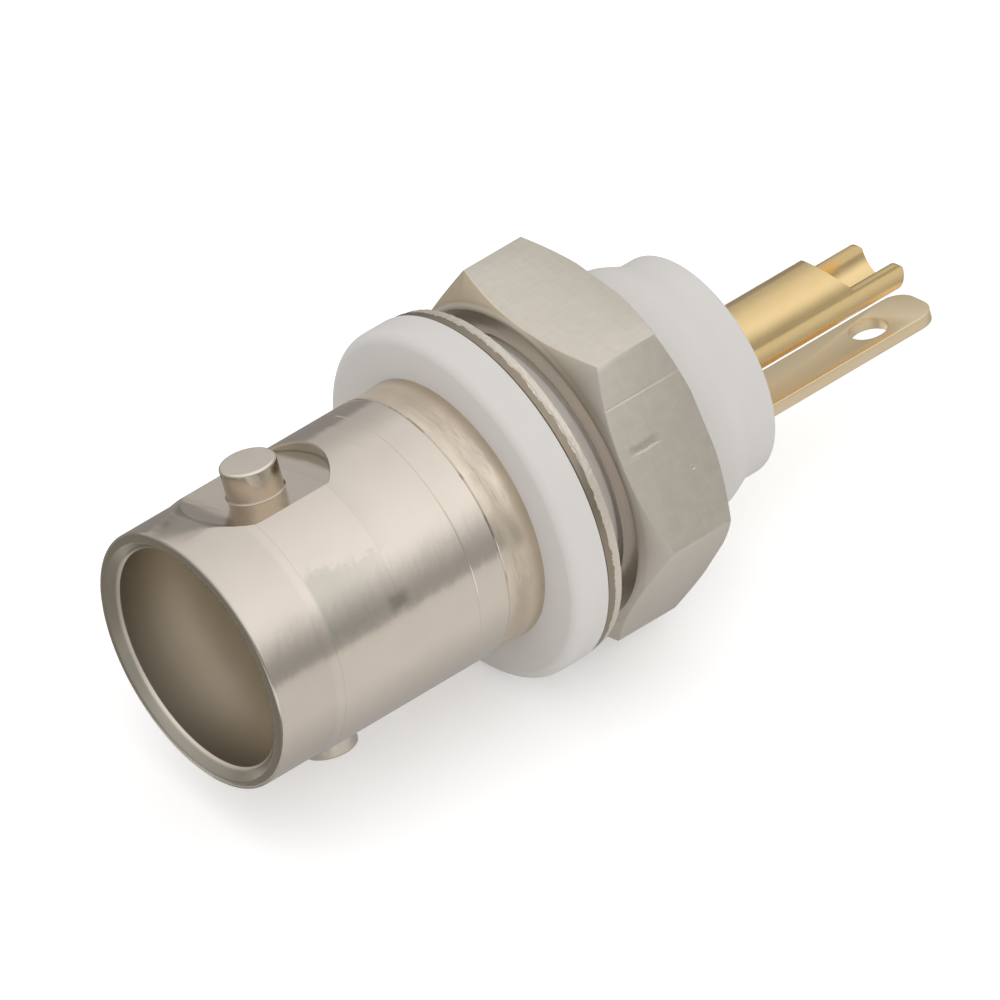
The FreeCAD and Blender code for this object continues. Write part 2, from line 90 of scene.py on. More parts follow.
# Turns about the axis that bring a piece's own top to its place
STUD_TURN = math.radians(90 - 112.1)
KEY_TURN = math.radians(90 - 108.0)
NUT_TURN = math.radians(90 - 94.9)

# A radius so small that the ring closes on the axis
AXIS = 4e-5

# The widest step of a rounded corner
ARC_STEP = math.radians(9)


# Workshop

def only(piece):
    """Selects one piece and nothing else."""
    bpy.ops.object.select_all(action="DESELECT")
    piece.select_set(True)
    bpy.context.view_layer.objects.active = piece


def settle(piece):
    """Moves a piece's place, turn and size into its mesh."""
    only(piece)
    bpy.ops.object.transform_apply(location=True, rotation=True, scale=True)


def new_mesh(name, add, **settings):
    """A named mesh piece, made by one of the operators that add a simple form."""
    bpy.ops.object.select_all(action="DESELECT")
    add(**settings)
    piece = bpy.context.object
    piece.name = name
    return piece


def edit_all(piece):
    only(piece)
    bpy.ops.object.mode_set(mode="EDIT")
    bpy.ops.mesh.select_all(action="SELECT")


def leave_edit():
    """Turns all faces outwards and leaves edit mode."""
    bpy.ops.mesh.select_all(action="SELECT")
    bpy.ops.mesh.normals_make_consistent(inside=False)
    bpy.ops.object.mode_set(mode="OBJECT")


def apply_modifier(piece, kind, **settings):
    only(piece)
    modifier = piece.modifiers.new(kind.title(), kind)
    for setting, value in settings.items():
        setattr(modifier, setting, value)
    bpy.ops.object.modifier_apply(modifier=modifier.name)


def rounded(corners):
    """Stations of a closed profile; a corner's third number rounds it off."""
    stations = []
    count = len(corners)
    for index, corner in enumerate(corners):
        here = Vector(corner[:2])
        size = corner[2] if len(corner) > 2 else 0
        if not size:
            stations.append(tuple(here))
            continue
        before = (Vector(corners[index - 1][:2]) - here).normalized()
        after = (Vector(corners[(index + 1) % count][:2]) - here).normalized()
        half = before.angle(after) / 2
        reach = size / math.tan(half)
        middle = here + (before + after).normalized() * size / math.sin(half)
        start = here + before * reach - middle
        sweep = start.angle_signed(here + after * reach - middle)
        steps = max(3, round(abs(sweep) / ARC_STEP))
        for step in range(steps + 1):
            turn = -sweep * step / steps
            spoke = Vector((start.x * math.cos(turn) - start.y * math.sin(turn),
                            start.x * math.sin(turn) + start.y * math.cos(turn)))
            stations.append(tuple(middle + spoke))
    return stations


def turned(name, corners, steps):
    """A closed turned solid: a ring is drawn out from station to station and joined up."""
    stations = rounded(corners)
    radius, place = stations[0]
    piece = new_mesh(name, bpy.ops.mesh.primitive_circle_add, vertices=steps,
                     radius=radius * MM, location=(0, place * MM, 0),
                     rotation=(math.pi / 2, 0, 0))
    settle(piece)
    edit_all(piece)
    for new_radius, new_place in stations[1:] + stations[:1]:
        bpy.ops.mesh.extrude_region_move(
            TRANSFORM_OT_translate={"value": (0, (new_place - place) * MM, 0)})
        size = new_radius / radius
        bpy.ops.transform.resize(value=(size, 1, size),
                                 center_override=(0, new_place * MM, 0))
        radius, place = new_radius, new_place
    bpy.ops.mesh.select_all(action="SELECT")
    bpy.ops.mesh.remove_doubles(threshold=1e-7)
    bpy.ops.mesh.delete_loose()
    leave_edit()
    return piece


def bar(name, radius, low, high, place, steps):
    """A solid round bar along Z from low to high at (x, y)."""
    middle = (low + high) / 2
    piece = new_mesh(name, bpy.ops.mesh.primitive_cylinder_add, vertices=steps,
                     radius=radius * MM, depth=(high - low) * MM,
                     location=(place[0] * MM, place[1] * MM, middle * MM))
    settle(piece)
    return piece


def slab(name, outline, low, high, across="x"):
    """A prism. The outline is (y, z) and runs from low to high along x, or (x, y) along z."""
    piece = new_mesh(name, bpy.ops.mesh.primitive_circle_add, vertices=len(outline),
                     radius=MM, fill_type="NGON")
    for vertex, (first, second) in zip(piece.data.vertices, outline):
        if across == "x":
            vertex.co = Vector((low, first, second)) * MM
        else:
            vertex.co = Vector((first, second, low)) * MM
    edit_all(piece)
    travel = (high - low) * MM
    move = (travel, 0, 0) if across == "x" else (0, 0, travel)
    bpy.ops.mesh.extrude_region_move(TRANSFORM_OT_translate={"value": move})
    leave_edit()
    return piece


def rectangle(half, low, high):
    """An outline from low to high, as wide on both sides of the middle."""
    return [(-half, low), (half, low), (half, high), (-half, high)]


def turn_about_axis(piece, angle):
    piece.rotation_euler = (0, angle, 0)
    settle(piece)


def work(piece, tool, operation="DIFFERENCE"):
    """Cuts the piece with a tool, keeps what they share, or joins them; the tool goes."""
    apply_modifier(piece, "BOOLEAN", operation=operation, object=tool, solver="EXACT")
    bpy.data.objects.remove(tool)


def soften(piece, width, angle, segments):
    """Breaks every edge sharper than an angle."""
    apply_modifier(piece, "BEVEL", width=width * MM, segments=segments,
                   limit_method="ANGLE", angle_limit=math.radians(angle),
                   miter_outer="MITER_ARC", use_clamp_overlap=True)


def smooth(piece, angle):
    only(piece)
    bpy.ops.object.shade_smooth_by_angle(angle=math.radians(angle))


# Finishes

class Reading:
    """A number or colour read over a surface; arithmetic on it adds nodes."""

    def __init__(self, finish, socket):
        self.finish = finish
        self.socket = socket

    def __add__(self, other):
        return self.finish.maths("ADD", self, other)

    def __radd__(self, other):
        return self.finish.maths("ADD", other, self)

    def __sub__(self, other):
        return self.finish.maths("SUBTRACT", self, other)

    def __rsub__(self, other):
        return self.finish.maths("SUBTRACT", other, self)

    def __mul__(self, other):
        return self.finish.maths("MULTIPLY", self, other)

    def __rmul__(self, other):
        return self.finish.maths("MULTIPLY", other, self)

    def __truediv__(self, other):
        return self.finish.maths("DIVIDE", self, other)

    def size(self):
        return self.finish.maths("ABSOLUTE", self)

    def root(self):
        return self.finish.maths("SQRT", self)

    def step(self, low, high):
        """0 below low, 1 above high, smooth between."""
        return self.finish.node("ShaderNodeMapRange", {"interpolation_type": "SMOOTHSTEP"},
                                {"Value": self, "From Min": low, "From Max": high})


class Finish:
    """One material, with its patterns in millimetres of the part's own frame."""

    def __init__(self, name, **constants):
        self.material = bpy.data.materials.new(name)
        self.material.use_nodes = True
        self.tree = self.material.node_tree
        self.shader = self.tree.nodes["Principled BSDF"]
        for socket, value in constants.items():
            self.shader.inputs[socket.replace("_", " ")].default_value = value
        place = self.node("ShaderNodeTexCoord", {}, {}, "Object")
        self.place = self.node("ShaderNodeVectorMath", {"operation": "SCALE"},
                               {0: place, "Scale": 1 / MM})
        self.x, self.y, self.z = [
            self.node("ShaderNodeSeparateXYZ", {}, {0: self.place}, letter) for letter in "XYZ"]
        self.radius = (self.x * self.x + self.z * self.z).root()

    def node(self, kind, settings, given, output=0):
        """Adds a node: its settings first, then values or readings for its sockets."""
        node = self.tree.nodes.new(kind)
        for setting, value in settings.items():
            setattr(node, setting, value)
        for socket, value in given.items():
            target = node.inputs[socket]
            if isinstance(value, Reading):
                self.tree.links.new(value.socket, target)
            elif target.type == "RGBA":
                target.default_value = (*value, 1)
            else:
                target.default_value = value
        return Reading(self, node.outputs[output])

    def maths(self, operation, *given):
        return self.node("ShaderNodeMath", {"operation": operation}, dict(enumerate(given)))

    def clouds(self, point, scale, detail, roughness=0.5):
        return self.node("ShaderNodeTexNoise", {},
                         {"Vector": point, "Scale": scale, "Detail": detail,
                          "Roughness": roughness})

    def cells(self, point, scale):
        return self.node("ShaderNodeTexVoronoi", {}, {"Vector": point, "Scale": scale})

    def streaks(self, across, along, detail):
        """Clouds with one scale across the axis and another along it."""
        point = self.node("ShaderNodeCombineXYZ", {},
                          {0: self.x * across, 1: self.y * along, 2: self.z * across})
        return self.clouds(point, 1.0, detail)

    def turning(self, pitch):
        """Fine rings left by a lathe, along the axis on a barrel and outwards on a face."""
        wander = 0.12
        point = self.node("ShaderNodeCombineXYZ", {},
                          {0: self.x * wander, 1: (self.y + self.radius) / pitch,
                           2: self.z * wander})
        return self.clouds(point, 1.0, 2.0)

    def near(self, reading, place, reach):
        """1 at a place, 0 beyond reach on either side."""
        return 1 - (reading - place).size().step(reach * 0.3, reach)

    def turn(self):
        """Degrees about the axis, from the right through the top."""
        return self.maths("ARCTAN2", self.z, self.x) * math.degrees(1)

    def blend(self, amount, first, second):
        """First colour at 0, second at 1."""
        return self.node("ShaderNodeMix", {"data_type": "RGBA"},
                         {0: amount, 6: first, 7: second}, 2)

    def layers(self, tone, *coats):
        """A tone with coats laid over it in turn, each an amount and a colour."""
        for amount, colour in coats:
            tone = self.blend(amount, tone, colour)
        return tone

    def relief(self, height, depth):
        """A bump of that depth in millimetres."""
        return self.node("ShaderNodeBump", {},
                         {"Strength": 1.0, "Distance": depth * MM, "Height": height})

    def wear(self, socket, reading):
        self.tree.links.new(reading.socket, self.shader.inputs[socket])


def nickel_finish():
    """Bright nickel over turned brass: warm and rougher on the neck, dull in the bore, with
    painted shade and painted light in the bore, on the studs, on the hollows' walls and at the
    neck's foot.
    """
    finish = Finish("nickel_on_turned_brass", Metallic=1.0)
    rings = finish.turning(0.05)
    lobes = finish.streaks(0.5, 1.5, 3.0)
    cloud = finish.clouds(finish.place, 0.8, 4.0)
    patchy = finish.clouds(finish.place, 0.9, 3.0).step(0.35, 0.65)
    uneven = 0.3 + finish.clouds(finish.place, 0.9, 5.0, 0.7).step(0.50, 0.62)
    ragged = finish.clouds(finish.place, 1.7, 4.0, 0.6) - 0.5
    speck = 1 - finish.cells(finish.place, 3.0).step(0.03, 0.07)

    # Bore, mouth and neck; the bore runs from painted shade at the mouth to painted light deeper
    # in, and the neck's foot carries painted shadow
    inside = 1 - finish.radius.step(BORE_RADIUS + 0.03, BORE_RADIUS + 0.13)
    outside = 1 - inside
    depth = finish.y.step(MOUTH + 0.1, MOUTH + 2.8)
    lead = ((1 - finish.y.step(LEAD_END - 0.02, LEAD_END + 0.03))
            * (1 - finish.radius.step(MOUTH_RING - 0.02, MOUTH_RING + 0.03)))
    neck = finish.y.step(NECK - 0.03, NECK + 0.03)
    # painted shadow of the flange across the neck's foot
    neck_foot_shadow = neck * finish.y.step(FLANGE_FRONT - 0.5, FLANGE_FRONT - 0.05)
    # the neck's groove line is painted darker, unevenly along its length
    neck_line = finish.near(finish.y, NECK - 0.02, 0.07) * uneven

    # Studs and the hollows round them: painted highlight on the stud tops, painted shade on the
    # stud sides and on the hollows' walls; the lower stud is shown plainer, with less of the shade
    out = (finish.x * math.cos(STUD_ANGLE) + finish.z * math.sin(STUD_ANGLE)).size()
    aside = finish.x * math.sin(STUD_ANGLE) - finish.z * math.cos(STUD_ANGLE)
    ahead = finish.y - STUD_PLACE
    spread = (aside * aside + ahead * ahead).root()
    stud = 1 - spread.step(STUD_RADIUS + 0.01, STUD_RADIUS + 0.09)
    # painted highlight on the stud's top
    stud_top_highlight = stud * out.step(STUD_TOP - 0.05, STUD_TOP - 0.01)
    # painted shade on the stud's sides
    stud_side_shade = (stud * out.step(MILLED_FLAT - 0.015, MILLED_FLAT + 0.025)
                 * (1 - out.step(STUD_TOP - 0.12, STUD_TOP - 0.06)))
    # the upper stud takes the full painted shade on its sides, the lower a quarter
    upper = 0.25 + 0.75 * finish.z.step(-0.1, 0.1)
    # painted shade on the walls of the milled hollows
    hollow_wall_shade = (spread.step(HOLLOW_RADIUS - 0.1, HOLLOW_RADIUS - 0.02)
                   * (1 - finish.radius.step(BARREL_RADIUS - 0.125, BARREL_RADIUS - 0.025))
                   * outside)

    # Marks on the barrel: the relief's line, and a dull wedge and a blot behind it
    behind = finish.y - RELIEF_END
    relief_line = finish.near(behind, -0.01, 0.05)
    turn = finish.turn()
    wandering = turn + ragged * 14
    dull = (wandering.step(24, 34) * (1 - wandering.step(53, 61.85 - behind * 3.0))
            * behind.step(-0.03, 0.07) * (1 - behind.step(0.65, 4.15)))
    blot = finish.near(turn + ragged * 6, 30.5, 5.0) * finish.near(behind, 2.85, 0.55)

    finish.wear("Base Color", finish.layers(
        finish.blend(cloud, (0.785, 0.70, 0.62), (0.84, 0.755, 0.66)),
        (dull * 0.55, (0.53, 0.515, 0.445)),
        (blot * 0.5, (0.30, 0.29, 0.24)),
        (relief_line * 0.15, (0.50, 0.44, 0.38)),
        # painted shade near the mouth, painted light deeper in the bore
        (inside, finish.blend(depth, (0.34, 0.30, 0.25), (0.98, 0.895, 0.755))),
        (lead, (0.98, 0.89, 0.77)),
        (speck * outside * 0.25, (0.30, 0.27, 0.22)),
        (speck * inside * 0.6, (1.0, 0.97, 0.90)),
        (neck, finish.blend(patchy, (0.80, 0.71, 0.595), (0.90, 0.785, 0.64))),
        # painted shadow of the flange on the neck's foot
        (neck_foot_shadow * 0.5, (0.42, 0.34, 0.24)),
        (neck_line * 0.5, (0.36, 0.31, 0.25)),
        # painted shade on the hollows' walls
        (hollow_wall_shade * 0.8, (0.42, 0.39, 0.33)),
        # painted highlight on the stud tops
        (stud_top_highlight, (0.97, 0.87, 0.77)),
        # painted shade on the stud sides, full on the upper stud
        (stud_side_shade * upper * 0.75, (0.43, 0.365, 0.28))))
    finish.wear("Roughness", 0.15 + rings * (1 - neck) * 0.06 + neck * 0.07 + dull * 0.05
                + inside * (0.28 - lead * 0.08) + lead * outside * 0.15)
    grain = finish.clouds(finish.place, 1.0, 2.0) * neck * 9.0
    height = rings * (1 - neck) * 0.4 + lobes * 16.0 * outside - speck * 0.5 + grain
    finish.wear("Normal", finish.relief(height, 0.0015))
    return finish.material


def nut_finish():
    """Satin nickel over milled brass, with the marks of handling on the right flat."""
    finish = Finish("nickel_on_milled_brass", Metallic=1.0)
    grain = finish.streaks(6.0, 1.2, 4.0)
    cross = finish.streaks(1.0, 8.0, 3.0)
    mottle = finish.clouds(finish.place, 2.2, 5.0, 0.65)
    weave = mottle * 0.4 + grain * 0.3 + cross * 0.3

    # Front face, chamfer and the edge of the bore, with painted shade on the front face, painted
    # reflection, a painted highlight band and a painted shade line on the chamfer, and painted
    # light on the bore's edge
    behind = finish.y - NUT_FRONT
    front = 1 - behind.step(0.02, 0.06)
    cone = (finish.radius - NUT_CONE) * NUT_SLOPE
    chamfer = (1 - (behind - cone).size().step(0.02, 0.06)) * finish.radius.step(
        NUT_CONE, NUT_CONE + 0.05)
    # painted reflection: the chamfer is greyer on the right and golden away from it
    right = 1 - finish.turn().step(60, 100)
    corner = finish.blend(right, (0.96, 0.83, 0.62), (0.72, 0.67, 0.60))
    # painted highlight: a bright band along the chamfer's inner edge, away from the right
    rim = chamfer * (1 - finish.radius.step(NUT_CONE + 0.16, NUT_CONE + 0.22)) * (1 - right)
    # painted shade line along the chamfer's outer edge
    chamfer_shade_line = finish.near(finish.radius, NUT_CONE + 0.23, 0.07) * chamfer
    # painted light on the edge of the bore, which lies in shade
    bore_edge_light = ((1 - finish.radius.step(NUT_BORE + 0.2, NUT_BORE + 0.28))
                 * (1 - behind.step(0.2, 0.3)))

    # Score, nick, dent and pit on the right flat
    out = finish.x * math.cos(RIGHT_FLAT) + finish.z * math.sin(RIGHT_FLAT)
    across = finish.z * math.cos(RIGHT_FLAT) - finish.x * math.sin(RIGHT_FLAT)
    flat = out.step(NUT_FLAT - 0.1, NUT_FLAT - 0.04)
    score = finish.near(across, 1.99, 0.06) * finish.near(finish.y, 3.45, 2.6)
    nick = finish.near(across, 0.04, 0.05) * finish.near(finish.y, 2.4, 0.5)
    dent = finish.near(across + mottle * 0.3, 0.45, 0.22) * finish.near(finish.y, 3.0, 0.8)
    pit = finish.near(across, -1.19, 0.09) * finish.near(finish.y, 4.37, 0.09)

    finish.wear("Base Color", finish.layers(
        finish.blend(weave, (0.685, 0.625, 0.535), (0.945, 0.875, 0.775)),
        # painted reflection on the chamfer
        (chamfer * 0.85, corner),
        # painted highlight on the chamfer
        (rim, (1.0, 0.92, 0.80)),
        (chamfer_shade_line * 0.15, (0.50, 0.43, 0.32)),
        # painted shade on the nut's front face
        (front * 0.7, (0.70, 0.635, 0.56)),
        (bore_edge_light, (0.97, 0.91, 0.83)),
        (flat * (score + nick) * 0.25, (0.98, 0.93, 0.84)),
        (flat * (dent + pit) * 0.35, (0.32, 0.29, 0.24))))
    finish.wear("Roughness", 0.28 + mottle * 0.12 + chamfer * 0.16)
    height = grain * 0.7 + cross * 0.7 + mottle * 0.5
    marks = flat * (dent * 4.0 + pit * 4.0 + score)
    finish.wear("Normal", finish.relief(height - marks, 0.004))
    return finish.material


def washer_finish():
    """Stamped sheet: a smooth sheared band in front and a broken band behind."""
    finish = Finish("stamped_washer", Metallic=1.0)
    ragged = finish.clouds(finish.place, 2.4, 5.0, 0.65) - 0.5
    broken = (finish.y + ragged * 0.36).step(0.27, 0.30)
    grain = finish.clouds(finish.place, 6.0, 4.0)
    edge = finish.radius.step(WASHER_RADIUS - 0.15, WASHER_RADIUS - 0.07)
    sheared = finish.blend(grain, (0.33, 0.275, 0.21), (0.41, 0.35, 0.275))
    torn = finish.blend(grain, (0.80, 0.73, 0.63), (0.92, 0.85, 0.75))
    bands = finish.blend(broken, sheared, torn)
    finish.wear("Base Color", finish.blend(edge, (0.52, 0.48, 0.42), bands))
    finish.wear("Roughness", 0.32 + broken * 0.16)
    finish.wear("Normal", finish.relief(grain * (0.3 + broken * edge * 1.5) + broken, 0.008))
    return finish.material


def white_finish(name, light, dark, rough):
    """White moulded plastic with a soft skin; the threaded body is painted lighter and warmer,
    painted light in the shade between washer and nut.
    """
    finish = Finish(name, Specular_IOR_Level=0.35)
    cloud = finish.clouds(finish.place, 0.5, 3.0)
    grain = finish.clouds(finish.place, 7.0, 3.0)
    # painted light, warmer, on the threaded body where it lies in shade between washer and nut
    gap_light = (finish.y.step(0.0, 0.3) * (1 - finish.y.step(THREAD_END, THREAD_END + 0.3))
              * finish.radius.step(4.0, 4.1))
    tone = finish.blend(cloud, light, dark)
    finish.wear("Base Color", finish.blend(gap_light, tone, (0.74, 0.695, 0.645)))
    finish.wear("Roughness", rough + grain * 0.08)
    finish.wear("Normal", finish.relief(grain, 0.002))
    return finish.material


def gold_finish(name, dark, light, rough):
    """Gold plate over turned or stamped brass."""
    finish = Finish(name, Metallic=1.0)
    rings = finish.turning(0.06)
    cloud = finish.clouds(finish.place, 1.4, 4.0)
    finish.wear("Base Color", finish.blend(cloud, dark, light))
    finish.wear("Roughness", rough + cloud * 0.1 + rings * 0.04)
    finish.wear("Normal", finish.relief(rings * 0.7 + cloud * 3.0, 0.002))
    return finish.material


# Pieces

def make_shell():
    """Barrel, neck and stem on the lathe, then the milled flats, and last the studs."""
    waist = 4.765
    stem = 3.6
    stem_bore = 2.91
    nose_bore = 2.37
    groove_depth = 0.025
    groove_half = 0.035
    stations = [(MOUTH_RING, MOUTH, 0.04), (FRONT_RADIUS, MOUTH, 0.17),
                (FRONT_RADIUS, RELIEF_END - 0.4), (BARREL_RADIUS, RELIEF_END)]
    for groove in (SCORE, NECK - 0.02):
        stations += [(BARREL_RADIUS, groove - groove_half), (BARREL_RADIUS - groove_depth, groove),
                     (BARREL_RADIUS, groove + groove_half)]
    stations += [(waist, NECK + 0.7, 2.5), (BARREL_RADIUS, FLANGE_FRONT), (stem, FLANGE_FRONT),
                 (stem, STEM_END), (stem_bore, STEM_END), (stem_bore, SHOULDER),
                 (nose_bore, SHOULDER), (nose_bore, FLOOR), (BORE_RADIUS, FLOOR, 0.2),
                 (BORE_RADIUS, LEAD_END, 0.05)]
    shell = turned("shell_turning", stations, 256)

    clear = 7.5
    ramp_top = MILLED_FLAT + 0.385
    knee = MILLED_FLAT + 0.27
    ramp_round = 3.0
    arch_steps = 48
    arch = [(-HOLLOW_RADIUS, MOUTH - 0.35), (HOLLOW_RADIUS, MOUTH - 0.35)]
    for step in range(arch_steps + 1):
        turn = math.pi * step / arch_steps
        arch.append((HOLLOW_RADIUS * math.cos(turn), STUD_PLACE + HOLLOW_RADIUS * math.sin(turn)))
    side = rounded([(MOUTH - 1, ramp_top), (MOUTH, ramp_top),
                    (RAMP_FOOT - 0.95, knee, ramp_round), (RAMP_FOOT, MILLED_FLAT, ramp_round),
                    (MOUTH + 9, MILLED_FLAT), (MOUTH + 9, clear), (MOUTH - 1, clear)])
    for half in (0, math.pi):
        cutter = slab("mill", arch, 4, 8, "z")
        work(cutter, slab("mill_side", side, -3, 3), "INTERSECT")
        turn_about_axis(cutter, STUD_TURN + half)
        work(shell, cutter)

    # The chamfered foot starts just under the flat, so that none of its edges lie in the flat
    root = 4.2
    chamfer = 0.05
    sunk = 0.01
    foot_radius = STUD_RADIUS + chamfer + sunk
    for half in (0, math.pi):
        stud = turned("stud", [(AXIS, root), (foot_radius, root),
                               (foot_radius, MILLED_FLAT - sunk),
                               (STUD_RADIUS, MILLED_FLAT + chamfer),
                               (STUD_RADIUS, STUD_TOP, 0.1), (AXIS, STUD_TOP)], 96)
        stud.rotation_euler = (math.pi / 2, 0, 0)
        stud.location = (0, STUD_PLACE * MM, 0)
        settle(stud)
        turn_about_axis(stud, STUD_TURN + half)
        work(shell, stud, "UNION")
    smooth(shell, 14)
    return shell


def make_insulator():
    """White moulding: rounded flange, a fine thread under the nut, plain behind it."""
    flange = 6.5
    stem_hole = 3.61
    major = 4.76
    relieved = 4.58
    tail = 4.1
    cup_hole = 1.25
    rings = 68
    length = THREAD_END - THREAD_START
    stations = [(stem_hole, FLANGE_FRONT), (flange, FLANGE_FRONT, 0.42), (flange, 0, 0.08),
                (major, 0, 0.1)]
    stations += [(major, THREAD_START + length * step / rings) for step in range(rings + 1)]
    stations += [(relieved, THREAD_END + 0.2), (relieved, TAPER, 1.5), (tail, TAIL, 1.2),
                 (tail, REAR_FACE, 0.2), (cup_hole, REAR_FACE, 0.05), (cup_hole, WALL_FRONT),
                 (stem_hole, WALL_FRONT)]
    body = turned("insulator_moulding", stations, 192)

    # The thread: one groove for each turn, shallower towards both ends
    pitch = 0.79375
    groove_depth = 0.36
    flank = 2.6
    for vertex in body.data.vertices:
        place = vertex.co.y / MM
        radius = math.hypot(vertex.co.x, vertex.co.z) / MM
        if radius < major - 0.06 or not THREAD_START < place < THREAD_END:
            continue
        turn = math.atan2(vertex.co.z, vertex.co.x) / (2 * math.pi)
        phase = (place / pitch + turn) % 1.0
        crest = min(1.0, abs(phase - 0.5) * flank)
        fade = min(1.0, (place - THREAD_START) / 0.5, (THREAD_END - place) / 0.4)
        scale = 1 - groove_depth * (1 - crest) * fade / radius
        vertex.co.x *= scale
        vertex.co.z *= scale

    play = 0.01
    slot = slab("tab_slot", rectangle(TAB_HALF + play, 6.9, 10.0), TAB_LOW - play,
                TAB_HIGH + play, "z")
    turn_about_axis(slot, KEY_TURN)
    work(body, slot)
    smooth(body, 30)
    return body


def make_dielectric():
    """White core: a nose in the bore and a longer body in the stem."""
    front = -9.05
    nose = 2.36
    body = 2.9
    socket_hole = 1.11
    collar_hole = 1.31
    core = turned("dielectric_core", [
        (socket_hole, front, 0.05), (nose, front, 0.2), (nose, SHOULDER), (body, SHOULDER),
        (body, STEM_END), (collar_hole, STEM_END), (collar_hole, COLLAR_FRONT),
        (socket_hole, COLLAR_FRONT),
    ], 128)
    smooth(core, 25)
    return core


def make_contact():
    """Split socket, collar and solder cup."""
    front = -8.75
    socket = 1.1
    pin_hole = 0.7
    collar = 1.3
    collar_rear = -0.6
    cup = 1.24
    cup_bore = 0.98
    cup_floor = 10.95
    contact = turned("contact_turning", [
        (pin_hole + 0.15, front), (socket, front, 0.08), (socket, COLLAR_FRONT),
        (collar, COLLAR_FRONT), (collar, collar_rear), (cup, collar_rear),
        (cup, CUP_END, 0.04), (cup_bore, CUP_END, 0.04), (cup_bore, cup_floor),
        (AXIS, cup_floor), (AXIS, -3.4), (pin_hole, -3.75), (pin_hole, front + 0.15),
    ], 128)
    work(contact, slab("saw", rectangle(0.125, -9.2, -5.15), -2, 2, "z"))

    # The upper half of the cup is cut away behind a slanted shoulder
    trough = CUP_END - 2.11
    wall = 0.185
    wall_end = -0.135
    clear = 1.6
    lean = 0.69
    tip = rounded([(trough, wall), (CUP_END, wall, wall - wall_end), (CUP_END, -0.4)])
    outline = tip[:-1] + [(CUP_END, wall_end), (CUP_END + 1, wall_end), (CUP_END + 1, clear),
                          (trough - (clear - wall) * lean, clear)]
    work(contact, slab("trough_cutter", outline, -2, 2))
    soften(contact, 0.03, 40, 2)
    turn_about_axis(contact, KEY_TURN)
    smooth(contact, 25)
    return contact


def make_tab():
    """Stamped strip with a wire hole; its ring sits behind the stem."""
    ring_hole = 1.9
    ring_radius = 3.5
    ring = turned("tab_ring", [(ring_hole, STEM_END), (ring_radius, STEM_END),
                               (ring_radius, WALL_FRONT), (ring_hole, WALL_FRONT)], 96)
    work(ring, slab("tab_reliefs", rectangle(1.425, 6, 8), -4, -2.18, "z"))
    corners = [(-TAB_HALF, STEM_END), (TAB_HALF, STEM_END), (TAB_HALF, TAB_END, 0.78),
               (-TAB_HALF, TAB_END, 0.78)]
    leg = slab("ground_tab_strip", rounded(corners), TAB_LOW, TAB_HIGH, "z")
    foot = slab("tab_foot", [(STEM_END, TAB_LOW), (WALL_FRONT, TAB_LOW), (WALL_FRONT, -2.1),
                             (STEM_END, -2.1)], -1.07, 1.07)
    work(leg, bar("wire_hole", 0.67, -3.2, -1.8, (0, TAB_END - 2.25), 64))
    soften(leg, 0.05, 40, 3)
    work(leg, foot, "UNION")
    work(leg, ring, "UNION")
    turn_about_axis(leg, KEY_TURN)
    smooth(leg, 30)
    return leg


def make_washer():
    """Stamped lock washer: sheared rim in front, ragged broken rim behind, twisted teeth."""
    inner = 5.6
    middle = (WASHER_FRONT + WASHER_REAR) / 2
    rim = [(inner, WASHER_FRONT, 0.03), (WASHER_RADIUS, WASHER_FRONT, 0.04)]
    rim += [(WASHER_RADIUS, 0.2 + 0.04 * step) for step in range(1, 10)]
    rim += [(WASHER_RADIUS, WASHER_REAR, 0.02), (inner, WASHER_REAR, 0.03)]
    washer = turned("washer_blank", rim, 512)
    for vertex in washer.data.vertices:
        radius = math.hypot(vertex.co.x, vertex.co.z) / MM
        place = vertex.co.y / MM
        if radius < WASHER_RADIUS - 0.05 or place < 0.24:
            continue
        spot = Vector((vertex.co.x, vertex.co.z, 0)) / MM
        ragged = noise.noise(spot * 1.3) * 0.08 + noise.noise(spot * 4.0) * 0.03
        torn = min(1.0, max(0.0, (place - 0.31 - ragged) / 0.05))
        rough = noise.noise(Vector((spot.x * 7, place * 9, spot.y * 7))) * 0.02
        scale = (radius - torn * (0.03 + (place - 0.3) * 0.12 + rough)) / radius
        vertex.co.x *= scale
        vertex.co.z *= scale

    teeth = 10
    twist = math.radians(5)
    for count in range(teeth):
        tooth = slab("tooth", rectangle(0.75, 4.87, 5.72), -0.25, 0.25, "z")
        tooth.rotation_euler = (math.pi / 2, 0, 0)
        settle(tooth)
        tooth.rotation_euler = (0, 0, twist)
        settle(tooth)
        tooth.location = (0, middle * MM, 0)
        settle(tooth)
        turn_about_axis(tooth, NUT_TURN + math.radians(360 / teeth * count))
        work(washer, tooth, "UNION")
    smooth(washer, 30)
    return washer


